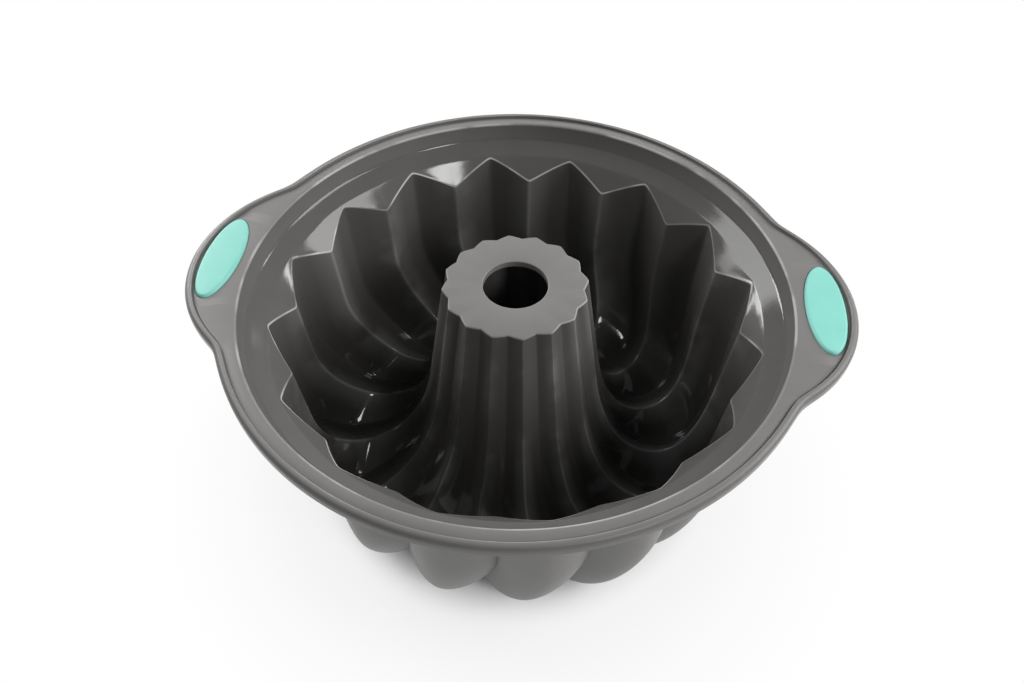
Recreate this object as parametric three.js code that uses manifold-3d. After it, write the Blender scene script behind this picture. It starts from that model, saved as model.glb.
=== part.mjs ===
// Round silicone cake mould: a fluted ring-shaped cavity around a hollow centre tube, hung from a flat
// flange with a raised bead, two grip ears with inset pads, and a steel stiffening ring inside the rim.
// Millimetres, +Z up. The origin is under the centre of the tube, on the plane the mould stands on, and
// the ears lie along X. A "drop" is a distance down from the top of the bead.
import * as THREE from "three";
import { mergeVertices } from "three/addons/utils/BufferGeometryUtils.js";
import Module from "manifold-3d";

const wasm = await Module();
wasm.setup();

// Height over all, from the plane the mould stands on to the top of the bead
const HEIGHT = 116.4;

// Flutes: how many, where the first ridge lies from the ear axis, how far they swirl from wall to tube
const FLUTES = 16;
const RIDGE_ANGLE = 2.6;
const SWIRL_ANGLE = -13;
const SWIRL_START = 0.24;
const SWIRL_END = 0.6;

// Silicone wall, how full the lobes are on its outside, and the flat foot under each lobe: how much is
// flattened off and how far in to out
const WALL = 3;
const LOBE_FULLNESS = 1.8;
const FOOT_FLAT = 1.3;
const FOOT_WIDTH = 8;

// Centre tube: its flat top, the hole in it and the flutes on its side
const HOLE_RADIUS = 14.6;
const TUBE_TOP_RADIUS = 33;
const TUBE_TOP_DROP = 2.5;
const TUBE_BASE_RADIUS = 42;
const TUBE_BASE_DROP = 60;
const TUBE_FLUTE_DEPTH = 2.4;
const TUBE_EDGE = 0.8;

// Trough at the bottom of the cavity, measured on the ridges, and how much deeper and further out the
// bottoms of the flutes lie there
const TROUGH_RADIUS = 75;
const TROUGH_FLUTE_DEPTH = 9.2;
const TROUGH_FLUTE_REACH = 8;

// Rim: the raised bead at its edge, rounded to the outside, and the step below the bead
const RIM_RADIUS = 130;
const BEAD_WIDTH = 3.2;
const BEAD_ROUND = 2.4;
const STEP_HEIGHT = 0.8;
const STEP_INSET = 0.5;

// Flange inside the bead, and the collar that leans in from it down to the shoulder
const FLANGE_WIDTH = 9.2;
const FLANGE_DROP = 1.4;
const FLANGE_THICKNESS = 4.2;
const COLLAR_ROUND = 1.2;
const COLLAR_LEAN = 2.2;

// Conical shoulder, from the collar in to the star line where the flutes begin: the star's outer peaks
// and inner tips. The shoulder turns steeper at a crease through the peaks, lifted a little above each.
const SHOULDER_DROP = 9.4;
const STAR_PEAK_INSET = 7.7;
const STAR_PEAK_DROP = 15;
const STAR_TIP_INSET = 16;
const STAR_TIP_DROP = 25.8;
const CREASE_LIFT = 0.15;

// Fluted wall under the star line, measured on the ridges
const WALL_LEAN = 2.8;
const WALL_BASE_DROP = 58;
const WALL_FLUTE_DEPTH = 9;

// Ears, and the pads set into them
const EAR_REACH = 17.5;
const EAR_ROUND = 62;
const EAR_BLEND = 1.5;
const PAD_TO_BEAD = 1.5;
const PAD_HALF_LENGTH = 26;
const PAD_HALF_WIDTH = 8.6;
const PAD_PROUD = 1.3;
const PAD_ROUND = 1.5;
const POCKET_DEPTH = 1.2;

// Stiffening ring, the channel it lies in and the pin holes that open the channel underneath
const RING_WIRE_RADIUS = 0.75;
const RING_INSET = 1.75;
const RING_DROP = 3.4;
const PIN_HOLE_RADIUS = 0.9;
const PIN_HOLE_ANGLES = [45, 90, 135, 225, 270, 315];
const PIN_HOLE_SIDES = 10;

// Room left between two pieces
const GAP = 0.3;

// Smoothness of the round stretches
const STEPS_PER_FLUTE = 6;
const BEND_STEPS = 4;
const WIRE_SIDES = 8;
const WIRE_STEPS = 48;
const PAD_STEPS = 48;
const EAR_SPAN = 27;

const troughDrop = HEIGHT + FOOT_FLAT - WALL - TROUGH_FLUTE_DEPTH;
const flangeRadius = RIM_RADIUS - FLANGE_WIDTH;
const rimBaseDrop = FLANGE_DROP + FLANGE_THICKNESS;
const shoulderRadius = flangeRadius - COLLAR_LEAN;
const starPeakRadius = shoulderRadius - STAR_PEAK_INSET;
const starTipRadius = shoulderRadius - STAR_TIP_INSET;
const wallBaseRadius = starTipRadius - WALL_LEAN;
const padRadius = RIM_RADIUS + EAR_REACH - BEAD_WIDTH - PAD_TO_BEAD - PAD_HALF_WIDTH;

const radians = THREE.MathUtils.degToRad;
const mix = THREE.MathUtils.lerp;
const smooth = THREE.MathUtils.smoothstep;

// Angle in degrees between a direction and the nearer ear, 0 on the ear's axis and 90 between the ears
function angleFromEar(angle) {
  return THREE.MathUtils.radToDeg(Math.acos(Math.abs(Math.cos(radians(angle)))));
}

// Outline of the rim seen from above: a circle blended into the smaller circle that bounds each ear
function rimRadius(angle) {
  const turn = radians(angleFromEar(angle));
  const earCentre = RIM_RADIUS + EAR_REACH - EAR_ROUND;
  const offLine = earCentre * Math.sin(turn);
  const ear = earCentre * Math.cos(turn) + Math.sqrt(Math.max(EAR_ROUND ** 2 - offLine ** 2, 0));
  return (ear + RIM_RADIUS) / 2 + Math.hypot((ear - RIM_RADIUS) / 2, EAR_BLEND);
}

// Points of a smooth bend between two places, with the handles that set its direction at each
function bend(start, startHandle, endHandle, end) {
  return new THREE.CubicBezierCurve(start, startHandle, endHandle, end).getPoints(BEND_STEPS);
}

// One line of the cavity surface in (radius, drop), from the tube's top edge over the trough to the
// collar. Depth 0 follows a ridge and depth 1 follows the bottom of a flute.
function cavityRail(depth) {
  const tubeTop = new THREE.Vector2(TUBE_TOP_RADIUS - depth * TUBE_FLUTE_DEPTH, TUBE_TOP_DROP + TUBE_EDGE);
  const tubeBase = new THREE.Vector2(TUBE_BASE_RADIUS - depth * TUBE_FLUTE_DEPTH, TUBE_BASE_DROP);
  const trough = new THREE.Vector2(
    TROUGH_RADIUS + depth * TROUGH_FLUTE_REACH,
    troughDrop + depth * TROUGH_FLUTE_DEPTH,
  );
  const wallBase = new THREE.Vector2(wallBaseRadius + depth * WALL_FLUTE_DEPTH, WALL_BASE_DROP);
  const shoulder = new THREE.Vector2(shoulderRadius, SHOULDER_DROP);
  const peak = new THREE.Vector2(starPeakRadius, STAR_PEAK_DROP);
  const star = new THREE.Vector2(starTipRadius, STAR_TIP_DROP).lerp(peak, depth);
  const crease = peak.clone().lerp(shoulder, depth * CREASE_LIFT);
  const handle = 0.55;
  const tubeDirection = tubeBase.clone().sub(tubeTop).normalize();
  const wallDirection = wallBase.clone().sub(star).normalize();
  const inner = bend(
    tubeBase,
    tubeBase.clone().addScaledVector(tubeDirection, handle * (trough.y - tubeBase.y)),
    new THREE.Vector2(trough.x - handle * (trough.x - tubeBase.x), trough.y),
    trough,
  );
  const outer = bend(
    trough,
    new THREE.Vector2(trough.x + handle * (wallBase.x - trough.x), trough.y),
    wallBase.clone().addScaledVector(wallDirection, handle * (trough.y - wallBase.y)),
    wallBase,
  );
  return [tubeTop, ...inner, ...outer.slice(1), star, crease, shoulder];
}

// The same line moved out of the cavity by the wall's thickness, square to itself
function offsetRail(rail) {
  return rail.map((point, i) => {
    const before = rail[Math.max(i - 1, 0)];
    const after = rail[Math.min(i + 1, rail.length - 1)];
    const along = after.clone().sub(before).normalize();
    return new THREE.Vector2(point.x - along.y * WALL, point.y + along.x * WALL);
  });
}

// Swirl of each point of a rail, as a share of the whole swirl: none at the star line, all at the tube
function railSwirl(rail) {
  const lengths = [0];
  for (let i = rail.length - 1; i > 0; i -= 1) {
    lengths.unshift(lengths[0] + rail[i].distanceTo(rail[i - 1]));
  }
  return lengths.map((length) => smooth(length / lengths[0], SWIRL_START, SWIRL_END));
}

const troughIndex = 1 + BEND_STEPS;

// Outside line of the wall, with its lowest point drawn out into a level foot
function outsideRail(rail) {
  const line = offsetRail(rail);
  const half = new THREE.Vector2(FOOT_WIDTH / 2, 0);
  const lowest = line[troughIndex];
  line.splice(troughIndex, 1, lowest.clone().sub(half), lowest.clone().add(half));
  return line;
}

const ridgeRail = cavityRail(0);
const valleyRail = cavityRail(1);
const ridgeBack = outsideRail(ridgeRail);
const valleyBack = outsideRail(valleyRail);
const swirlShare = railSwirl(ridgeRail);

// Depth of the cavity surface across a flute: a V from 0 on a ridge to 1 at the bottom of the flute
function fluteDepth(phase) {
  return 1 - Math.abs(2 * phase - 1);
}

// Depth of the outside surface across a flute: a round lobe with a sharp crease behind each ridge
function lobeDepth(phase) {
  return 1 - (1 - fluteDepth(phase)) ** LOBE_FULLNESS;
}

// A point at a radius and drop, turned to an angle in degrees
function pointAt(radius, drop, angle) {
  return new THREE.Vector3(
    radius * Math.cos(radians(angle)),
    radius * Math.sin(radians(angle)),
    HEIGHT - drop,
  );
}

// Closed section of the mould at one angle, from the hole's edge over the cavity and the rim and back
// along the outside
function mouldSection(angle) {
  const pitch = 360 / FLUTES;
  const turns = (angle - RIDGE_ANGLE) / pitch;
  const phase = turns - Math.floor(turns);
  const rim = rimRadius(angle);
  const tubeAngle = angle + SWIRL_ANGLE;
  const points = [
    pointAt(HOLE_RADIUS, TUBE_TOP_DROP + WALL, tubeAngle),
    pointAt(HOLE_RADIUS, TUBE_TOP_DROP, tubeAngle),
  ];
  const edgeRadius = mix(ridgeRail[0].x, valleyRail[0].x, fluteDepth(phase)) - TUBE_EDGE;
  points.push(pointAt(edgeRadius, TUBE_TOP_DROP, tubeAngle));
  ridgeRail.forEach((ridge, i) => {
    const at = ridge.clone().lerp(valleyRail[i], fluteDepth(phase));
    points.push(pointAt(at.x, at.y, angle + SWIRL_ANGLE * swirlShare[i]));
  });
  for (const turn of [0, 45, 90]) {
    const radius = flangeRadius + COLLAR_ROUND * (1 - Math.cos(radians(turn)));
    const drop = FLANGE_DROP + COLLAR_ROUND * (1 - Math.sin(radians(turn)));
    points.push(pointAt(radius, drop, angle));
  }
  points.push(pointAt(rim - BEAD_WIDTH, FLANGE_DROP, angle));
  points.push(pointAt(rim - BEAD_WIDTH, 0, angle));
  for (const turn of [0, 45, 90]) {
    const radius = rim - BEAD_ROUND * (1 - Math.sin(radians(turn)));
    const drop = BEAD_ROUND * (1 - Math.cos(radians(turn)));
    points.push(pointAt(radius, drop, angle));
  }
  points.push(pointAt(rim, rimBaseDrop - STEP_HEIGHT, angle));
  points.push(pointAt(rim - STEP_INSET, rimBaseDrop - STEP_HEIGHT, angle));
  points.push(pointAt(rim - STEP_INSET, rimBaseDrop, angle));
  points.push(pointAt(flangeRadius + WALL, rimBaseDrop, angle));
  for (let i = ridgeBack.length - 1; i >= 0; i -= 1) {
    const depth = i > 0 ? lobeDepth(phase) : fluteDepth(phase);
    const at = ridgeBack[i].clone().lerp(valleyBack[i], depth);
    const drop = i > 0 ? Math.min(at.y, HEIGHT) : TUBE_TOP_DROP + WALL;
    const inner = i > troughIndex ? i - 1 : i;
    points.push(pointAt(at.x, drop, angle + SWIRL_ANGLE * swirlShare[inner]));
  }
  return points;
}

// Directions in degrees around the mould: even steps, with a step between them near the ears
function anglesAround(count, first, earSteps) {
  const step = 360 / count;
  const angles = [];
  for (let k = 0; k < count; k += 1) {
    const angle = first + k * step;
    for (let part = 0; part < earSteps; part += 1) {
      const between = angle + (part * step) / earSteps;
      if (part === 0 || angleFromEar(between) < EAR_SPAN) {
        angles.push(between);
      }
    }
  }
  return angles;
}

// Closed ring surface through one closed section at each angle
function ringGeometry(angles, sectionAt) {
  const sections = angles.map(sectionAt);
  const size = sections[0].length;
  const positions = sections.flat().flatMap((point) => point.toArray());
  const index = [];
  for (let j = 0; j < sections.length; j += 1) {
    const here = j * size;
    const next = ((j + 1) % sections.length) * size;
    for (let i = 0; i < size; i += 1) {
      const up = (i + 1) % size;
      index.push(here + i, next + up, next + i);
      index.push(here + i, here + up, next + up);
    }
  }
  const geometry = new THREE.BufferGeometry();
  geometry.setAttribute("position", new THREE.Float32BufferAttribute(positions, 3));
  geometry.setIndex(index);
  return geometry;
}

// Round bar bent along the rim, inside the bead
function rimBar(radius) {
  return ringGeometry(anglesAround(WIRE_STEPS, 0, 3), (angle) => {
    const centre = rimRadius(angle) - RING_INSET;
    const section = [];
    for (let side = 0; side < WIRE_SIDES; side += 1) {
      const turn = (2 * Math.PI * side) / WIRE_SIDES;
      section.push(pointAt(centre - radius * Math.cos(turn), RING_DROP - radius * Math.sin(turn), angle));
    }
    return section;
  });
}

// Oval across an ear, grown outwards by a margin
function ovalPoints(margin) {
  const points = [];
  for (let k = 0; k < PAD_STEPS; k += 1) {
    const turn = (2 * Math.PI * k) / PAD_STEPS;
    const across = (PAD_HALF_WIDTH + margin) * Math.cos(turn);
    const along = (PAD_HALF_LENGTH + margin) * Math.sin(turn);
    points.push(new THREE.Vector2(across, along));
  }
  return points;
}

// Pad: an oval block with a rounded top edge, standing on z = 0
function padGeometry() {
  const thickness = POCKET_DEPTH - GAP + PAD_PROUD;
  const layers = [{ margin: 0, z: 0 }];
  for (const turn of [0, 30, 60, 90]) {
    const margin = -PAD_ROUND * (1 - Math.cos(radians(turn)));
    layers.push({ margin, z: thickness - PAD_ROUND * (1 - Math.sin(radians(turn))) });
  }
  const positions = [];
  for (const { margin, z } of layers) {
    for (const point of ovalPoints(margin)) {
      positions.push(point.x, point.y, z);
    }
  }
  positions.push(0, 0, 0, 0, 0, thickness);
  const bottomCentre = layers.length * PAD_STEPS;
  const topLayer = (layers.length - 1) * PAD_STEPS;
  const index = [];
  for (let k = 0; k < PAD_STEPS; k += 1) {
    const next = (k + 1) % PAD_STEPS;
    index.push(bottomCentre, next, k);
    index.push(bottomCentre + 1, topLayer + k, topLayer + next);
    for (let layer = 0; layer < topLayer; layer += PAD_STEPS) {
      index.push(layer + k, layer + next, layer + PAD_STEPS + next);
      index.push(layer + k, layer + PAD_STEPS + next, layer + PAD_STEPS + k);
    }
  }
  const geometry = new THREE.BufferGeometry();
  geometry.setAttribute("position", new THREE.Float32BufferAttribute(positions, 3));
  geometry.setIndex(index);
  return geometry;
}

// Oval pocket that a pad lies in, with its floor on z = 0 and its top clear of the bead
function pocketGeometry() {
  const shape = new THREE.Shape(ovalPoints(GAP));
  return new THREE.ExtrudeGeometry(shape, { depth: POCKET_DEPTH + FLANGE_DROP, bevelEnabled: false });
}

// Solid made from a closed geometry that stands at a place
function solidFrom(geometry, position = new THREE.Vector3(), turn = 0) {
  const copy = geometry.clone();
  copy.deleteAttribute("normal");
  copy.deleteAttribute("uv");
  copy.rotateZ(turn);
  copy.translate(position.x, position.y, position.z);
  const merged = mergeVertices(copy, 1e-4);
  return new wasm.Manifold(new wasm.Mesh({
    numProp: 3,
    vertProperties: new Float32Array(merged.attributes.position.array),
    triVerts: new Uint32Array(merged.index.array),
  }));
}

function geometryFrom(solid) {
  const mesh = solid.getMesh();
  const geometry = new THREE.BufferGeometry();
  geometry.setAttribute("position", new THREE.Float32BufferAttribute(mesh.vertProperties, 3));
  geometry.setIndex(new THREE.Uint32BufferAttribute(mesh.triVerts, 1));
  return geometry;
}

// The moulding with its pad pockets, the ring's channel and the pin holes under it
function mouldGeometry() {
  const angles = anglesAround(FLUTES * STEPS_PER_FLUTE, RIDGE_ANGLE, 2);
  let solid = solidFrom(ringGeometry(angles, mouldSection));
  const pocketFloor = HEIGHT - FLANGE_DROP - POCKET_DEPTH;
  for (const side of [1, -1]) {
    solid = solid.subtract(solidFrom(pocketGeometry(), new THREE.Vector3(side * padRadius, 0, pocketFloor)));
  }
  solid = solid.subtract(solidFrom(rimBar(RING_WIRE_RADIUS + GAP)));
  const pinLength = rimBaseDrop - RING_DROP + PIN_HOLE_RADIUS;
  const pin = new THREE.CylinderGeometry(PIN_HOLE_RADIUS, PIN_HOLE_RADIUS, pinLength, PIN_HOLE_SIDES);
  pin.rotateX(Math.PI / 2);
  for (const angle of PIN_HOLE_ANGLES) {
    const centre = pointAt(rimRadius(angle) - RING_INSET, RING_DROP + pinLength / 2, angle);
    solid = solid.subtract(solidFrom(pin, centre));
  }
  return geometryFrom(solid);
}

const greySilicone = new THREE.MeshStandardMaterial({ color: 0x6b6866, roughness: 0.35, metalness: 0 });
const mintSilicone = new THREE.MeshStandardMaterial({ color: 0xa4e3d3, roughness: 0.5, metalness: 0 });
const springSteel = new THREE.MeshStandardMaterial({ color: 0xb4b6b8, roughness: 0.3, metalness: 1 });

const mould = new THREE.Group();

function addPiece(name, geometry, material) {
  const piece = new THREE.Mesh(geometry, material);
  piece.name = name;
  mould.add(piece);
  return piece;
}

addPiece("mould_body", mouldGeometry(), greySilicone);
addPiece("rim_ring", rimBar(RING_WIRE_RADIUS), springSteel);
for (const [name, side] of [["right_grip_pad", 1], ["left_grip_pad", -1]]) {
  const pad = addPiece(name, padGeometry(), mintSilicone);
  pad.position.set(side * padRadius, 0, HEIGHT - FLANGE_DROP - POCKET_DEPTH + GAP);
}

export default mould;
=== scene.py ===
import math

import bpy
import numpy as np
from mathutils import Matrix, Vector


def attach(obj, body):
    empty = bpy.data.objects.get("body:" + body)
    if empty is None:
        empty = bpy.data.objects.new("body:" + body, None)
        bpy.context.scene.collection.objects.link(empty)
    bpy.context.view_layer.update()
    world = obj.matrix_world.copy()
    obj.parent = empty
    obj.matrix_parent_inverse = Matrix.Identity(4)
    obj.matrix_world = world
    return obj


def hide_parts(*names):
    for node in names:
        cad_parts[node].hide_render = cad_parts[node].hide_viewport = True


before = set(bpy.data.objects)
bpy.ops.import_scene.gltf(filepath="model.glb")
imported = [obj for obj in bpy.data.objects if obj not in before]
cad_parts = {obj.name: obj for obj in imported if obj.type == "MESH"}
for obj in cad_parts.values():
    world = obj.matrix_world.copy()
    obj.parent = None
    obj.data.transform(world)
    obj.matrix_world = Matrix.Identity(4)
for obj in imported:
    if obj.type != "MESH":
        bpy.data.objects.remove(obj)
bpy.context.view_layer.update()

MM = 0.001

# Height over all
HEIGHT = 116.4

# Flutes
FLUTES = 16
RIDGE_ANGLE = math.radians(2.6)
SWIRL_ANGLE = math.radians(-13)
SWIRL_START = 0.24
SWIRL_END = 0.6
RIDGE_ROUND = 0.05

# Silicone wall
WALL = 3.0
FOOT_FLAT = 1.3
LOBE_FULLNESS = 1.8

# Centre tube
HOLE_RADIUS = 14.6
HOLE_EDGE = 0.5
TUBE_TOP_RADIUS = 33.0
TUBE_TOP_DROP = 2.5
TUBE_BASE_RADIUS = 42.0
TUBE_BASE_DROP = 60.0
TUBE_FLUTE_DEPTH = 2.4
TUBE_EDGE = 0.8

# Trough
TROUGH_RADIUS = 75.0
TROUGH_FLUTE_DEPTH = 9.2
TROUGH_FLUTE_REACH = 8.0
BEND_HANDLE = 0.55

# Rim, flange and collar
RIM_RADIUS = 130.0
BEAD_WIDTH = 3.2
BEAD_ROUND = 2.4
BEAD_INNER_ROUND = 0.4
GROOVE_WIDTH = 0.9
GROOVE_DEPTH = 0.3
STEP_HEIGHT = 0.8
STEP_INSET = 0.5
FLANGE_WIDTH = 9.2
FLANGE_DROP = 1.4
FLANGE_THICKNESS = 4.2
COLLAR_ROUND = 1.2
COLLAR_LEAN = 2.2

# Shoulder, star line and fluted wall
SHOULDER_DROP = 9.4
SHOULDER_ROUND = 1.0
STAR_PEAK_INSET = 7.7
STAR_PEAK_DROP = 15.0
STAR_TIP_INSET = 16.0
STAR_TIP_DROP = 25.8
STAR_ROUND = 0.8
CREASE_LIFT = 0.15
CREASE_ROUND = 0.5
WALL_LEAN = 2.8
WALL_BASE_DROP = 58.0
WALL_FLUTE_DEPTH = 9.0

# Ears and pads
EAR_REACH = 17.5
EAR_ROUND = 62.0
EAR_BLEND = 1.5
PAD_TO_BEAD = 1.5
PAD_HALF_LENGTH = 26.0
PAD_HALF_WIDTH = 8.6
PAD_PROUD = 1.3
PAD_ROUND = 1.5
PAD_CROWN = 0.15
POCKET_DEPTH = 1.2
GAP = 0.3

# Holes that the moulding pins leave under the rim
RING_INSET = 1.75
PIN_HOLE_RADIUS = 0.9
PIN_HOLE_DEPTH = 1.2
PIN_HOLE_ANGLES = (45, 90, 135, 225, 270, 315)

# Polish of the skin, where the fluted cavity has 1 and the flange has 0
SHOULDER_GLOSS = 0.7
COLLAR_GLOSS = 0.4
BEAD_GLOSS = 0.5
OUTSIDE_GLOSS = 0.2

# Painted highlights: pale lines painted along edges where light would catch, as shares of the palest tone.
# Those on a ridge, a thin line in a broad band of painted sheen, reach some share of the flute's depth.
RIDGE_GLINT = 0.4
RIDGE_REACH = 0.1
BAND_GLINT = 0.1
BAND_REACH = 0.6
TOP_EDGE_GLINT = 0.3
COLLAR_GLINT = 0.5
CREST_GLINT = 0.32
STEP_GLINT = 0.24

# Sizes that follow from the others
TROUGH_DROP = HEIGHT + FOOT_FLAT - WALL - TROUGH_FLUTE_DEPTH
FLANGE_RADIUS = RIM_RADIUS - FLANGE_WIDTH
RIM_BASE_DROP = FLANGE_DROP + FLANGE_THICKNESS
SHOULDER_RADIUS = FLANGE_RADIUS - COLLAR_LEAN
STAR_PEAK_RADIUS = SHOULDER_RADIUS - STAR_PEAK_INSET
STAR_TIP_RADIUS = SHOULDER_RADIUS - STAR_TIP_INSET
WALL_BASE_RADIUS = STAR_TIP_RADIUS - WALL_LEAN
PAD_RADIUS = RIM_RADIUS + EAR_REACH - BEAD_WIDTH - PAD_TO_BEAD - PAD_HALF_WIDTH

# Fineness of the meshes
STEPS_PER_FLUTE = 32
STEP_CROWDING = 0.7
LINE_STEPS = 10
BEND_STEPS = 18
CORNER_STEPS = 6
SHOULDER_STEPS = 3
PAD_STEPS = 128
PAD_EDGE_STEPS = 10
PAD_TOP_INSETS = np.array([3.5, 5.0, 6.5, 7.6])
PIN_HOLE_SIDES = 16

# How far a cutting tool reaches past the surface that it opens
TOOL_OVERSHOOT = 1.0

# Edges that turn by more than this stay sharp
SHARP_ANGLE = math.radians(35)

# Rows of the cavity's line from the star line up: three roundings, of which only the last has its end
# row, and two straights
STAR_ROWS = 2 * (CORNER_STEPS - 1) + CORNER_STEPS + 2 * SHOULDER_STEPS

# Share across a rounded edge: none at its two ends, all in its middle
ON_ROUNDING = np.sin(np.linspace(0, math.pi, CORNER_STEPS))


# Lines in a section of the mould, as rows of (radius, drop)

def line(start, end, count):
    """Points from start towards end in even steps, without the end itself."""
    share = np.arange(count)[:, None] / count
    return start + (end - start) * share


def bend(start, start_handle, end_handle, end, count):
    """Points of a cubic Bezier curve in even steps of its parameter, without its end."""
    t = np.arange(count)[:, None] / count
    return (
        start * (1 - t) ** 3
        + 3 * start_handle * t * (1 - t) ** 2
        + 3 * end_handle * t ** 2 * (1 - t)
        + end * t ** 3
    )


def corner(before, point, after, size):
    """A rounded corner: a quadratic Bezier from size short of the point to size past it, end included."""
    start = point + (before - point) * size / np.linalg.norm(before - point)
    end = point + (after - point) * size / np.linalg.norm(after - point)
    t = np.linspace(0, 1, CORNER_STEPS)[:, None]
    return start * (1 - t) ** 2 + 2 * point * t * (1 - t) + end * t ** 2


def arc(centre, radius, first, last):
    """Points of a circular arc between two angles in degrees, measured from outwards towards up."""
    turn = np.radians(np.linspace(first, last, CORNER_STEPS))
    return np.stack([centre[0] + radius * np.cos(turn), centre[1] - radius * np.sin(turn)], 1)


def cavity_points(depth):
    """Corners of the cavity's line: depth 0 follows a ridge, depth 1 the bottom of a flute."""
    tip = np.array([STAR_TIP_RADIUS, STAR_TIP_DROP])
    peak = np.array([STAR_PEAK_RADIUS, STAR_PEAK_DROP])
    shoulder = np.array([SHOULDER_RADIUS, SHOULDER_DROP])
    return {
        "tube_top": np.array([TUBE_TOP_RADIUS - depth * TUBE_FLUTE_DEPTH, TUBE_TOP_DROP + TUBE_EDGE]),
        "tube_base": np.array([TUBE_BASE_RADIUS - depth * TUBE_FLUTE_DEPTH, TUBE_BASE_DROP]),
        "trough": np.array([
            TROUGH_RADIUS + depth * TROUGH_FLUTE_REACH, TROUGH_DROP + depth * TROUGH_FLUTE_DEPTH,
        ]),
        "wall_base": np.array([WALL_BASE_RADIUS + depth * WALL_FLUTE_DEPTH, WALL_BASE_DROP]),
        "star": tip + depth * (peak - tip),
        "crease": peak + depth * CREASE_LIFT * (shoulder - peak),
        "shoulder": shoulder,
        "collar": np.array([FLANGE_RADIUS, FLANGE_DROP + COLLAR_ROUND]),
    }


def unit(vector):
    """The vector at length 1."""
    return vector / np.linalg.norm(vector)


def lower_rail(at):
    """The cavity's line up to the wall's foot: straight down the tube, then two Bezier bends that meet
    level at the bottom of the trough."""
    tube_way = unit(at["tube_base"] - at["tube_top"])
    wall_way = unit(at["wall_base"] - at["star"])
    tube_fall = at["trough"][1] - at["tube_base"][1]
    wall_fall = at["trough"][1] - at["wall_base"][1]
    level = np.array([1.0, 0.0])
    inner_reach = (at["trough"][0] - at["tube_base"][0]) * BEND_HANDLE
    outer_reach = (at["wall_base"][0] - at["trough"][0]) * BEND_HANDLE
    return np.concatenate([
        line(at["tube_top"], at["tube_base"], LINE_STEPS),
        bend(
            at["tube_base"], at["tube_base"] + tube_way * tube_fall * BEND_HANDLE,
            at["trough"] - level * inner_reach, at["trough"], BEND_STEPS,
        ),
        bend(
            at["trough"], at["trough"] + level * outer_reach,
            at["wall_base"] + wall_way * wall_fall * BEND_HANDLE, at["wall_base"], BEND_STEPS,
        ),
    ])


def inside_rail(depth):
    """The whole line of the cavity, with roundings at the star line, the crease and the collar's foot."""
    at = cavity_points(depth)
    star = corner(at["wall_base"], at["star"], at["crease"], STAR_ROUND)
    crease = corner(at["star"], at["crease"], at["shoulder"], CREASE_ROUND)
    shoulder = corner(at["crease"], at["shoulder"], at["collar"], SHOULDER_ROUND)
    return np.concatenate([
        lower_rail(at),
        line(at["wall_base"], star[0], LINE_STEPS),
        star[:-1],
        line(star[-1], crease[0], SHOULDER_STEPS),
        crease[:-1],
        line(crease[-1], shoulder[0], SHOULDER_STEPS),
        shoulder,
    ])


def outside_rail(depth):
    """The cavity's line without rounded corners, moved out square to itself by the wall."""
    at = cavity_points(depth)
    path = np.concatenate([
        lower_rail(at),
        line(at["wall_base"], at["star"], LINE_STEPS),
        np.stack([at["star"], at["crease"], at["shoulder"]]),
    ])
    along = np.gradient(path, axis=0)
    along /= np.linalg.norm(along, axis=1, keepdims=True)
    return path + WALL * np.stack([-along[:, 1], along[:, 0]], 1)


def swirl_share(rail):
    """Share of the swirl along a rail: a smooth step of the way from the shoulder to the tube's top."""
    steps = np.linalg.norm(np.diff(rail, axis=0), axis=1)
    way = np.append(np.cumsum(steps[::-1])[::-1], 0.0)
    share = np.clip((way / way[0] - SWIRL_START) / (SWIRL_END - SWIRL_START), 0, 1)
    return share * share * (3 - 2 * share)


# The mould seen from above

def rim_radius(angle):
    """Outline of the rim: the larger of the rim circle and an ear circle, with a soft inner corner."""
    turn = np.arccos(np.abs(np.cos(angle)))
    ear_centre = RIM_RADIUS + EAR_REACH - EAR_ROUND
    beside = ear_centre * np.sin(turn)
    ear = ear_centre * np.cos(turn) + np.sqrt(np.maximum(EAR_ROUND ** 2 - beside ** 2, 0))
    return (ear + RIM_RADIUS) / 2 + np.hypot((ear - RIM_RADIUS) / 2, EAR_BLEND)


def flute_angles():
    """Directions around the mould and the phase of each in its flute, crowded near ridges and flutes."""
    even = np.arange(STEPS_PER_FLUTE) / STEPS_PER_FLUTE
    phase = even - STEP_CROWDING * np.sin(4 * np.pi * even) / (4 * np.pi)
    turns = (np.arange(FLUTES)[:, None] + phase[None, :]).ravel()
    return RIDGE_ANGLE + turns * 2 * np.pi / FLUTES, np.tile(phase, FLUTES)


def flute_depth(phase):
    """Depth of the cavity across a flute: a V from 0 on a ridge to 1 at its bottom, with both tips
    rounded as hyperbolas."""
    straight = np.hypot(1 - np.abs(2 * phase - 1), RIDGE_ROUND)
    return (1 - np.hypot(1 - straight, RIDGE_ROUND))[:, None]


def lobe_depth(phase):
    """Depth of the outside across a flute: a broad round lobe with a crease behind each ridge."""
    across = 1 - np.abs(2 * phase - 1)
    return (1 - (1 - across) ** LOBE_FULLNESS)[:, None]


# Meshes

def add_piece(name, vertices, faces):
    """A mesh object at the origin from vertices in millimetres and faces as rows of vertex numbers."""
    mesh = bpy.data.meshes.new(name)
    mesh.from_pydata(vertices * MM, [], faces)
    mesh.shade_smooth()
    piece = bpy.data.objects.new(name, mesh)
    bpy.context.scene.collection.objects.link(piece)
    return piece


def ring_faces(rows, columns):
    """Four-sided faces of a grid that closes on itself both ways."""
    row, column = np.meshgrid(np.arange(rows), np.arange(columns), indexing="ij")
    next_row = (row + 1) % rows
    next_column = (column + 1) % columns
    corners = [(row, column), (next_row, column), (next_row, next_column), (row, next_column)]
    return np.stack([r * columns + c for r, c in corners], -1).reshape(-1, 4)


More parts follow.
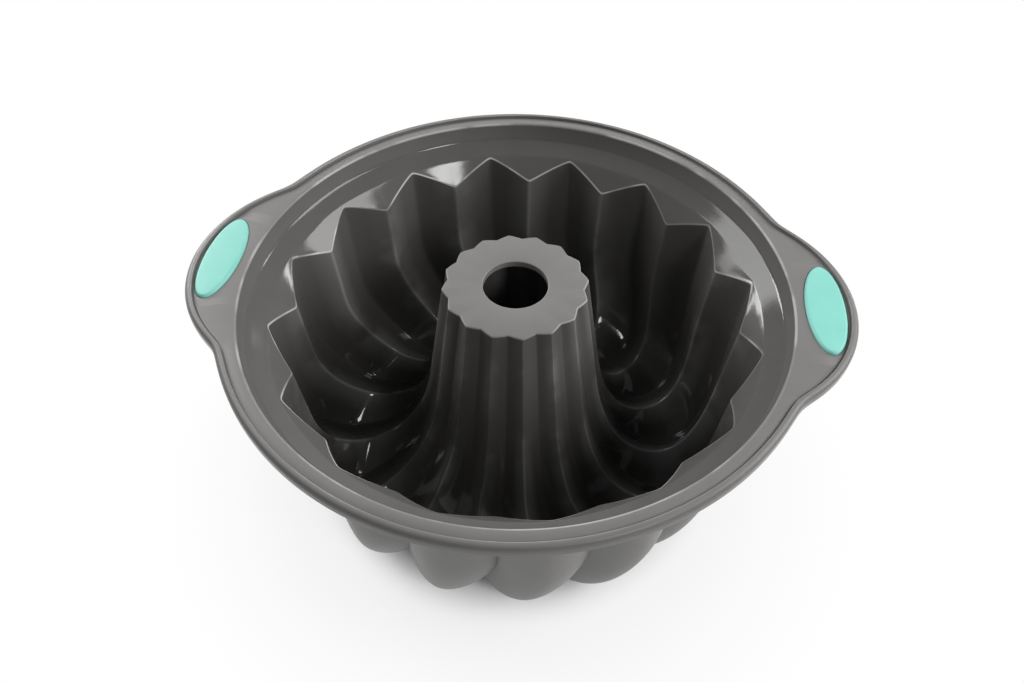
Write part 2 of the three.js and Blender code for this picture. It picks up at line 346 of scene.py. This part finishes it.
def bead_profile():
    """The bead's line, measured from the rim's edge: a groove, two quarter circles over the crest and the
    roll, and the step below. With it come its gloss and its painted highlight lines on the crest and the
    step."""
    foot = -BEAD_WIDTH
    groove = np.array([
        [foot - GROOVE_WIDTH, FLANGE_DROP],
        [foot - GROOVE_WIDTH / 2, FLANGE_DROP + GROOVE_DEPTH],
        [foot, FLANGE_DROP + GROOVE_DEPTH],
    ])
    crest = arc((foot + BEAD_INNER_ROUND, BEAD_INNER_ROUND), BEAD_INNER_ROUND, 180, 90)
    roll = arc((-BEAD_ROUND, BEAD_ROUND), BEAD_ROUND, 90, 0)
    step = np.array([
        [0.0, RIM_BASE_DROP - STEP_HEIGHT],
        [-STEP_INSET, RIM_BASE_DROP - STEP_HEIGHT],
        [-STEP_INSET, RIM_BASE_DROP],
    ])
    inner_gloss = np.zeros(len(groove) + len(crest))
    roll_gloss = np.linspace(0, BEAD_GLOSS, CORNER_STEPS)
    gloss = np.concatenate([inner_gloss, roll_gloss, [BEAD_GLOSS, BEAD_GLOSS, 0]])
    crest_edge = CREST_GLINT * ON_ROUNDING
    edge = np.concatenate([np.zeros(len(groove)), crest_edge, np.zeros(len(roll)), [0, STEP_GLINT, 0]])
    return np.concatenate([groove, crest, roll, step]), gloss, edge


def cavity_gloss_and_highlights(inside, count):
    """Gloss and painted highlights of the cavity: fully polished up to the star line, with pale lines and
    bands painted as highlights along that line and the ridges, fading evenly to both sides."""
    rows = np.arange(count)
    star_index = count - STAR_ROWS
    below_star = rows < star_index + CORNER_STEPS / 2
    gloss = np.where(below_star, 1.0, SHOULDER_GLOSS)
    gloss[-1] = COLLAR_GLOSS
    half_corner = (CORNER_STEPS - 1) / 2
    on_star = np.clip(1 - np.abs((rows - star_index) / half_corner - 1), 0, 1)
    ridge_line = RIDGE_GLINT * np.clip(1 - inside / RIDGE_REACH, 0, 1)
    ridge_band = BAND_GLINT * np.clip(1 - inside / BAND_REACH, 0, 1)
    on_ridge = np.maximum(ridge_line, ridge_band) * below_star
    return gloss, np.maximum(on_star, on_ridge)


def moulding_grid():
    """Sections of the moulding at every angle, as arrays of radius, drop, turn, gloss and painted
    highlights.
    Each is a closed loop: over the tube's top, through the cavity, over the collar and the bead, and back
    along the outside. Between a ridge and a flute it mixes their two lines by the depth across the flute."""
    angle, phase = flute_angles()
    rim = rim_radius(angle)[:, None]
    around = angle[:, None]
    tube_turn = around + SWIRL_ANGLE
    ridge = inside_rail(0)
    flute = inside_rail(1)
    ridge_back = outside_rail(0)
    flute_back = outside_rail(1)
    inside = flute_depth(phase)
    outside = lobe_depth(phase)
    cavity_turn = around + SWIRL_ANGLE * swirl_share(ridge)
    back_turn = around + SWIRL_ANGLE * swirl_share(ridge_back)
    columns = []

    def put(radius, drop, turn, gloss, edge=0.0):
        """Adds points to the end of every section."""
        shape = np.broadcast_shapes(np.shape(radius), np.shape(drop), np.shape(turn))
        columns.append([np.broadcast_to(v, shape) for v in (radius, drop, turn, gloss, edge)])

    def put_profile(points, turn, gloss, outwards=0.0, edge=0.0):
        """Adds one line to every section, moved outwards."""
        put(points[None, :, 0] + outwards, points[None, :, 1], turn, gloss, edge)

    top_radius = ridge[0, 0] + inside * (flute[0, 0] - ridge[0, 0])
    hole_edge = arc((HOLE_RADIUS + HOLE_EDGE, TUBE_TOP_DROP + HOLE_EDGE), HOLE_EDGE, 180, 90)
    top_edge = arc((-TUBE_EDGE, TUBE_TOP_DROP + TUBE_EDGE), TUBE_EDGE, 90, 0)
    put(HOLE_RADIUS, TUBE_TOP_DROP + WALL, tube_turn, 0.0)
    put_profile(hole_edge, tube_turn, 0.0, edge=TOP_EDGE_GLINT * ON_ROUNDING)
    put_profile(top_edge[:-1], tube_turn, 0.0, top_radius, TOP_EDGE_GLINT * ON_ROUNDING[:-1])
    cavity_gloss, cavity_edge = cavity_gloss_and_highlights(inside, len(ridge))
    put(
        ridge[:, 0] + inside * (flute - ridge)[:, 0],
        ridge[:, 1] + inside * (flute - ridge)[:, 1],
        cavity_turn, cavity_gloss, cavity_edge,
    )
    collar = arc((FLANGE_RADIUS + COLLAR_ROUND, FLANGE_DROP + COLLAR_ROUND), COLLAR_ROUND, 180, 90)
    collar_gloss = np.linspace(COLLAR_GLOSS, 0, CORNER_STEPS)
    put_profile(collar, around, collar_gloss, edge=COLLAR_GLINT * ON_ROUNDING)
    bead, bead_gloss, bead_edge = bead_profile()
    put_profile(bead, around, bead_gloss, rim, bead_edge)
    put(FLANGE_RADIUS + WALL, RIM_BASE_DROP, around, 0.0)
    back = slice(None, None, -1)
    put(
        (ridge_back[:, 0] + outside * (flute_back - ridge_back)[:, 0])[:, back],
        np.minimum(ridge_back[:, 1] + outside * (flute_back - ridge_back)[:, 1], HEIGHT)[:, back],
        back_turn[:, back], OUTSIDE_GLOSS,
    )
    put(top_radius - WALL, TUBE_TOP_DROP + WALL, tube_turn, 0.0)
    return [np.concatenate(values, 1) for values in zip(*columns)]


def moulding_piece():
    """The one-piece silicone moulding, before its pockets and pin holes are cut."""
    radius, drop, turn, gloss, edge = moulding_grid()
    points = np.stack([radius * np.cos(turn), radius * np.sin(turn), HEIGHT - drop], -1)
    piece = add_piece("silicone_moulding", points.reshape(-1, 3), ring_faces(*radius.shape))
    # The edge layer holds how much painted highlight each point takes
    for name, values in (("gloss", gloss), ("edge", edge)):
        layer = piece.data.attributes.new(name, "FLOAT", "POINT")
        layer.data.foreach_set("value", values.astype(np.float32).ravel())
    return piece


def capped_piece(name, rings):
    """A closed piece from a stack of closed outlines (layers x points x 3), with a fan at each end."""
    layers, count = rings.shape[:2]
    centres = np.stack([rings[0].mean(0), rings[-1].mean(0)])
    vertices = np.concatenate([rings.reshape(-1, 3), centres])
    here = np.arange(count)
    after = (here + 1) % count
    layer = np.arange(layers - 1)[:, None] * count
    side = np.stack([layer + here, layer + after, layer + count + after, layer + count + here], -1)
    low, high = layers * count, layers * count + 1
    top = (layers - 1) * count
    bottom_fan = np.stack([np.full(count, low), after, here], -1)
    top_fan = np.stack([np.full(count, high), top + here, top + after], -1)
    faces = side.reshape(-1, 4).tolist() + bottom_fan.tolist() + top_fan.tolist()
    return add_piece(name, vertices, faces)


def oval(margin, height):
    """Points of the pad's outline, grown by a margin, at a height."""
    turn = np.arange(PAD_STEPS) * 2 * np.pi / PAD_STEPS
    across = (PAD_HALF_WIDTH + margin) * np.cos(turn)
    along = (PAD_HALF_LENGTH + margin) * np.sin(turn)
    return np.stack([across, along, np.full(PAD_STEPS, height)], -1)


def pad_piece(name, side):
    """A grip pad in its pocket: an oval block with a quarter circle along its top edge and a crown that
    falls with the square of the way from the middle."""
    thickness = POCKET_DEPTH - GAP + PAD_PROUD
    turn = np.radians(np.linspace(0, 90, PAD_EDGE_STEPS))
    margins = np.concatenate([[0.0], PAD_ROUND * (np.cos(turn) - 1), -PAD_TOP_INSETS])
    rise = np.concatenate([[0.0], thickness - PAD_CROWN - PAD_ROUND * (1 - np.sin(turn))])
    inner = (PAD_TOP_INSETS - PAD_ROUND) / (PAD_HALF_WIDTH - PAD_ROUND)
    heights = np.concatenate([rise, thickness - PAD_CROWN * (1 - inner) ** 2])
    rings = np.stack([oval(m, h) for m, h in zip(margins, heights)])
    floor = HEIGHT - FLANGE_DROP - POCKET_DEPTH + GAP
    return capped_piece(name, rings + np.array([side * PAD_RADIUS, 0, floor]))


def cut(piece, tool):
    """Takes the tool's closed solids out of a piece, and removes the tool."""
    change = piece.modifiers.new("cut", "BOOLEAN")
    change.operation = "DIFFERENCE"
    change.solver = "EXACT"
    change.object = tool
    bpy.context.view_layer.update()
    shape = piece.evaluated_get(bpy.context.evaluated_depsgraph_get())
    mesh = bpy.data.meshes.new_from_object(shape)
    piece.modifiers.clear()
    piece.data = mesh
    bpy.data.objects.remove(tool)


def pocket_tool(side):
    """A straight oval block as wide as a pad's pocket, from the pocket's floor to above the bead."""
    floor = HEIGHT - FLANGE_DROP - POCKET_DEPTH
    rings = np.stack([oval(GAP, floor), oval(GAP, HEIGHT + TOOL_OVERSHOOT)])
    return capped_piece("pocket", rings + np.array([side * PAD_RADIUS, 0, 0]))


def pin_tool(angle):
    """A short upright cylinder that opens the rim's underside."""
    turn = np.arange(PIN_HOLE_SIDES) * 2 * np.pi / PIN_HOLE_SIDES
    centre = rim_radius(angle) - RING_INSET
    x = centre * np.cos(angle) + PIN_HOLE_RADIUS * np.cos(turn)
    y = centre * np.sin(angle) + PIN_HOLE_RADIUS * np.sin(turn)
    base = HEIGHT - RIM_BASE_DROP
    levels = (base - TOOL_OVERSHOOT, base + PIN_HOLE_DEPTH)
    rings = [np.stack([x, y, np.full(PIN_HOLE_SIDES, z)], -1) for z in levels]
    return capped_piece("pin", np.stack(rings))


# Finishes. A pair of tones holds the darker and the paler one, as linear red, green, blue and opacity.

SATIN_TONES = ((0.162, 0.157, 0.153, 1), (0.207, 0.202, 0.197, 1))
UPPER_TONES = ((0.082, 0.08, 0.077, 1), (0.124, 0.12, 0.115, 1))
# The polished tones darkened as painted shade, for the lowest part of the cavity
DEEP_SHADE_TONES = ((0.028, 0.0265, 0.025, 1), (0.045, 0.043, 0.041, 1))
# Palest tone, painted on edges and ridges as highlights
PAINTED_HIGHLIGHT_TONE = (0.85, 0.84, 0.83, 1)
MINT_TONES = ((0.213, 0.605, 0.522, 1), (0.272, 0.68, 0.596, 1))
STEEL_TONES = ((0.56, 0.57, 0.58, 1), (0.68, 0.69, 0.7, 1))
PAPER_TONE = (0.72, 0.72, 0.72, 1)
WHITE = (1, 1, 1, 1)
SILICONE_IOR = 1.43

# Painted shade low in the cavity: height in metres where the cavity's tone turns from the darker deep
# shade to the upper tone, and half the way that it takes
DEEP_SHADE_LEVEL = 0.058
DEEP_SHADE_FADE = 0.045

# Gloss where the skin turns from satin to polished, and half the way that it takes
POLISH_LEVEL = 0.35
POLISH_FADE = 0.3

# Least share of a painted highlight on an edge that shows, what a patch of stronger painted highlight
# adds, the cloud value where a patch begins, and half the way that its edge takes
PAINTED_HIGHLIGHT_LEAST = 0.22
PAINTED_HIGHLIGHT_PATCH = 0.68
PATCH_LEVEL = 0.5
PATCH_FADE = 0.07

# Patterns: features per metre, octaves of detail and, where there is one, the stretch along each axis
CLOUDS = (22, 3)
SMEARS = (75, 5, (1, 1, 0.35))
SATIN_GRAIN = (2600, 1)
ORANGE_PEEL = (120, 2)
MINT_CLOUDS = (60, 3)
MINT_GRAIN = (2200, 1)
WIRE_MARKS = (900, 3, (0.2, 0.2, 6))
WIRE_DULLING = (90, 2)
NOISE_ROUGHNESS = 0.55

# Share of the clouds in the grey's shading, where the smears have the rest
CLOUD_SHARE = 0.6

# Roughness of each finish, and what its pattern adds
SATIN_ROUGHNESS = 0.4
SATIN_SMEAR = 0.1
POLISHED_ROUGHNESS = 0.04
POLISHED_SMEAR = 0.07
MINT_ROUGHNESS = 0.38
MINT_CLOUDING = 0.14
STEEL_ROUGHNESS = 0.24
STEEL_MARKING = 0.18

# Relief: heights of the patterns, strengths, and depths in metres
GRAIN_HEIGHT = 0.5
PEEL_HEIGHT = 0.35
SKIN_RELIEF = 0.25
SKIN_DEPTH = 0.0003
FINE_RELIEF = 0.2
MINT_DEPTH = 0.0002
WIRE_DEPTH = 0.0001

# Numbers of the Mix node's colour sockets, whose names its other sockets have too
MIX_FIRST = 6
MIX_SECOND = 7
MIX_RESULT = 2


class Shade:
    """A value that varies over a surface: a shader socket whose sums and products add Math nodes."""

    def __init__(self, finish, socket):
        self.finish = finish
        self.socket = socket

    def math(self, operation, first, second):
        """The result of one operation on two values."""
        return self.finish.add("ShaderNodeMath", {"operation": operation}, {0: first, 1: second})

    def __add__(self, other):
        return self.math("ADD", self, other)

    __radd__ = __add__

    def __mul__(self, other):
        return self.math("MULTIPLY", self, other)

    __rmul__ = __mul__

    def __sub__(self, other):
        return self.math("SUBTRACT", self, other)

    def __rsub__(self, other):
        return self.math("SUBTRACT", other, self)

    def above(self, level, softness):
        """1 where the value is over a level, 0 where it is under, with a soft step between."""
        settings = {"interpolation_type": "SMOOTHSTEP"}
        sockets = {"Value": self, "From Min": level - softness, "From Max": level + softness}
        return self.finish.add("ShaderNodeMapRange", settings, sockets)


class Finish:
    """A material made of nodes, read on object coordinates."""

    def __init__(self, name):
        self.material = bpy.data.materials.new(name)
        self.material.use_nodes = True
        self.tree = self.material.node_tree
        self.tree.nodes.clear()
        self.place = self.add("ShaderNodeTexCoord", {}, {}, "Object")

    def add(self, kind, settings, sockets, output=0):
        """One output of a new node, whose settings come first, and then a value or a link per socket."""
        node = self.tree.nodes.new(kind)
        for name, value in settings.items():
            setattr(node, name, value)
        for name, value in sockets.items():
            if isinstance(value, Shade):
                self.tree.links.new(value.socket, node.inputs[name])
            else:
                node.inputs[name].default_value = value
        return Shade(self, node.outputs[output]) if node.outputs else None

    def noise(self, scale, detail, stretch=(1, 1, 1)):
        """Noise between about 0 and 1 with its features per metre, octaves and stretch along each axis."""
        place = self.add("ShaderNodeMapping", {}, {"Vector": self.place, "Scale": stretch})
        sockets = {"Vector": place, "Scale": scale, "Detail": detail, "Roughness": NOISE_ROUGHNESS}
        return self.add("ShaderNodeTexNoise", {}, sockets)

    def mix(self, share, first, second):
        """A colour between two colours."""
        settings = {"data_type": "RGBA"}
        sockets = {"Factor": share, MIX_FIRST: first, MIX_SECOND: second}
        return self.add("ShaderNodeMix", settings, sockets, MIX_RESULT)

    def bump(self, height, strength, depth):
        """Surface relief from a height between 0 and 1, with its depth in metres."""
        sockets = {"Strength": strength, "Distance": depth, "Height": height}
        return self.add("ShaderNodeBump", {}, sockets)

    def surface(self, sockets):
        """Puts a principled shader with these sockets on the surface."""
        shader = self.add("ShaderNodeBsdfPrincipled", {}, sockets)
        self.add("ShaderNodeOutputMaterial", {}, {"Surface": shader})
        return self.material


def grey_silicone():
    """Dark warm grey silicone: polished in the cavity, with painted shade low in it, paler and satin with a
    fine grain elsewhere, and painted highlights, pale in patches, along its edges and ridges."""
    finish = Finish("grey_silicone")
    gloss = finish.add("ShaderNodeAttribute", {"attribute_name": "gloss"}, {}, "Fac")
    edge = finish.add("ShaderNodeAttribute", {"attribute_name": "edge"}, {}, "Fac")
    level = finish.add("ShaderNodeSeparateXYZ", {}, {"Vector": finish.place}, "Z")
    clouds = finish.noise(*CLOUDS)
    smear = finish.noise(*SMEARS)
    grain = finish.noise(*SATIN_GRAIN)
    orange_peel = finish.noise(*ORANGE_PEEL)
    shade = clouds * CLOUD_SHARE + smear * (1 - CLOUD_SHARE)
    satin_colour = finish.mix(shade, *SATIN_TONES)
    deep_shade_colour = finish.mix(shade, *DEEP_SHADE_TONES)
    upper_colour = finish.mix(shade, *UPPER_TONES)
    # Painted shade: the polished colour turns darker low in the cavity
    polished_and_shaded_colour = finish.mix(level.above(DEEP_SHADE_LEVEL, DEEP_SHADE_FADE), deep_shade_colour, upper_colour)
    colour = finish.mix(gloss, satin_colour, polished_and_shaded_colour)
    # Painted highlights: pale lines and bands on edges and ridges, stronger in cloud patches
    painted_highlight = edge * (PAINTED_HIGHLIGHT_LEAST + PAINTED_HIGHLIGHT_PATCH * clouds.above(PATCH_LEVEL, PATCH_FADE))
    satin = SATIN_ROUGHNESS + SATIN_SMEAR * smear
    polished = POLISHED_ROUGHNESS + POLISHED_SMEAR * smear
    polish = gloss.above(POLISH_LEVEL, POLISH_FADE)
    relief = grain * (1 - gloss) * GRAIN_HEIGHT + orange_peel * gloss * PEEL_HEIGHT
    return finish.surface({
        "Base Color": finish.mix(painted_highlight, colour, PAINTED_HIGHLIGHT_TONE),
        "Roughness": satin + polish * (polished - satin),
        "IOR": SILICONE_IOR,
        "Normal": finish.bump(relief, SKIN_RELIEF, SKIN_DEPTH),
    })


def mint_silicone():
    """Pale mint silicone with a soft satin skin and a faint cloudiness."""
    finish = Finish("mint_silicone")
    clouds = finish.noise(*MINT_CLOUDS)
    grain = finish.noise(*MINT_GRAIN)
    return finish.surface({
        "Base Color": finish.mix(clouds, *MINT_TONES),
        "Roughness": MINT_ROUGHNESS + MINT_CLOUDING * clouds,
        "IOR": SILICONE_IOR,
        "Normal": finish.bump(grain, FINE_RELIEF, MINT_DEPTH),
    })


def drawn_steel():
    """Drawn steel wire with fine marks and a little dulling."""
    finish = Finish("drawn_steel")
    marks = finish.noise(*WIRE_MARKS)
    dulling = finish.noise(*WIRE_DULLING)
    return finish.surface({
        "Base Color": finish.mix(dulling, *STEEL_TONES),
        "Metallic": 1.0,
        "Roughness": STEEL_ROUGHNESS + STEEL_MARKING * marks,
        "Normal": finish.bump(marks, FINE_RELIEF, WIRE_DEPTH),
    })


def dress(piece, material):
    """Gives a piece one material."""
    piece.data.materials.clear()
    piece.data.materials.append(material)


# The object

mould = moulding_piece()
for side in (1, -1):
    cut(mould, pocket_tool(side))
for degrees in PIN_HOLE_ANGLES:
    cut(mould, pin_tool(math.radians(degrees)))
mould.data.set_sharp_from_angle(angle=SHARP_ANGLE)
dress(mould, grey_silicone())
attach(mould, "root")
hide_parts("mould_body")

mint = mint_silicone()
for name, node, side in (("right_pad", "right_grip_pad", 1), ("left_pad", "left_grip_pad", -1)):
    pad = pad_piece(name, side)
    dress(pad, mint)
    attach(pad, "root")
    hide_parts(node)

dress(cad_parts["rim_ring"], drawn_steel())


# Studio: a white floor that keeps the shadow near the mould, soft lamps and a white surround. Lengths are
# in metres. The shadow is full under the mould, mostly lifted beside it, and gone past its reach.

FLOOR_HALF = 4.0
FLOOR_DROP = 0.0001
UNDER_REACH = 0.095
UNDER_FADE = 0.015
SHADOW_REACH = 0.135
SHADOW_FADE = 0.06
SHADOW_LIFT = 0.75
SURROUND_LIGHT = 0.12

# Name, place, width and height, and watts of each lamp
LAMPS = (
    ("back_lamp", (-0.1, 1.02, 0.79), (1.1, 0.4), 4.0),
    ("right_lamp", (1.05, 0.15, 0.75), (0.7, 0.8), 12.0),
    ("left_lamp", (-0.95, 0.55, 0.8), (0.7, 0.8), 10.0),
    ("front_window", (0.49, -0.51, 0.68), (0.16, 0.24), 2.0),
    ("back_window", (-0.75, 0.65, 0.34), (0.2, 0.36), 2.5),
    ("back_strip", (0.72, 0.62, 0.34), (0.06, 0.36), 1.0),
)


def white_floor():
    """White floor: it takes a pale shadow around the mould, and fades into plain white away from it."""
    finish = Finish("white_floor")
    way = finish.add("ShaderNodeVectorMath", {"operation": "LENGTH"}, {"Vector": finish.place}, "Value")
    beside = way.above(UNDER_REACH, UNDER_FADE)
    away = way.above(SHADOW_REACH, SHADOW_FADE)
    whiteness = SHADOW_LIFT * beside + (1 - SHADOW_LIFT) * away
    path = "ShaderNodeLightPath"
    seen = finish.add(path, {}, {}, "Is Camera Ray") + finish.add(path, {}, {}, "Is Glossy Ray")
    paper = finish.add("ShaderNodeBsdfDiffuse", {}, {"Color": PAPER_TONE})
    white = finish.add("ShaderNodeEmission", {}, {"Color": WHITE, "Strength": 1.0})
    shown = finish.add("ShaderNodeMixShader", {}, {0: whiteness * seen, 1: paper, 2: white})
    finish.add("ShaderNodeOutputMaterial", {}, {"Surface": shown})
    return finish.material


def soft_lamp(name, place, size, watts):
    """A rectangular soft lamp at a place in metres, facing the mould."""
    data = bpy.data.lights.new(name, "AREA")
    data.shape = "RECTANGLE"
    data.size, data.size_y = size
    data.energy = watts
    lamp = bpy.data.objects.new(name, data)
    bpy.context.scene.collection.objects.link(lamp)
    aim = Vector((0, 0, HEIGHT * MM)) - Vector(place)
    lamp.matrix_world = Matrix.Translation(place) @ aim.to_track_quat("-Z", "Y").to_matrix().to_4x4()


corners = np.array([[-1, -1, 0], [1, -1, 0], [1, 1, 0], [-1, 1, 0]]) * FLOOR_HALF
floor = add_piece("floor", (corners - np.array([0, 0, FLOOR_DROP])) / MM, np.array([[0, 1, 2, 3]]))
dress(floor, white_floor())

for name, place, size, watts in LAMPS:
    soft_lamp(name, place, size, watts)

world = bpy.data.worlds.new("studio")
bpy.context.scene.world = world
world.use_nodes = True
sky = world.node_tree.nodes["Background"]
sky.inputs["Color"].default_value = WHITE
ray = world.node_tree.nodes.new("ShaderNodeLightPath")
strength = world.node_tree.nodes.new("ShaderNodeMapRange")
strength.inputs["To Min"].default_value = SURROUND_LIGHT
strength.inputs["To Max"].default_value = 1.0
world.node_tree.links.new(ray.outputs["Is Camera Ray"], strength.inputs["Value"])
world.node_tree.links.new(strength.outputs["Result"], sky.inputs["Strength"])


# Camera, at the photograph's place: it looks over the front edge at a point in the plane of the rim's
# top. Lengths are in millimetres, apart from the focal length and the frame, in pixels.

FRAME_WIDTH = 1024
FOCAL_PIXELS = 835.1
CAMERA_WAY = 344.7
CAMERA_ELEVATION = math.radians(48.66)
CAMERA_TURN = math.radians(6.88)
CAMERA_ROLL = math.radians(0.09)
CAMERA_AIM = Vector((-1.5, -35.73, 0))
CLIP_START = 10.0

camera_data = bpy.data.cameras.new("camera")
camera_data.sensor_fit = "HORIZONTAL"
camera_data.lens = camera_data.sensor_width * FOCAL_PIXELS / FRAME_WIDTH
camera_data.clip_start = CLIP_START * MM
camera = bpy.data.objects.new("camera", camera_data)
bpy.context.scene.collection.objects.link(camera)
ahead = Vector((0, math.cos(CAMERA_ELEVATION), -math.sin(CAMERA_ELEVATION)))
place = (CAMERA_AIM - ahead * CAMERA_WAY + Vector((0, 0, HEIGHT))) * MM
tilt = Matrix.Rotation(math.pi / 2 - CAMERA_ELEVATION, 4, "X")
roll = Matrix.Rotation(CAMERA_ROLL, 4, "Z")
camera.matrix_world = Matrix.Rotation(CAMERA_TURN, 4, "Z") @ Matrix.Translation(place) @ tilt @ roll
bpy.context.scene.camera = camera
bpy.context.scene.view_settings.view_transform = "Standard"
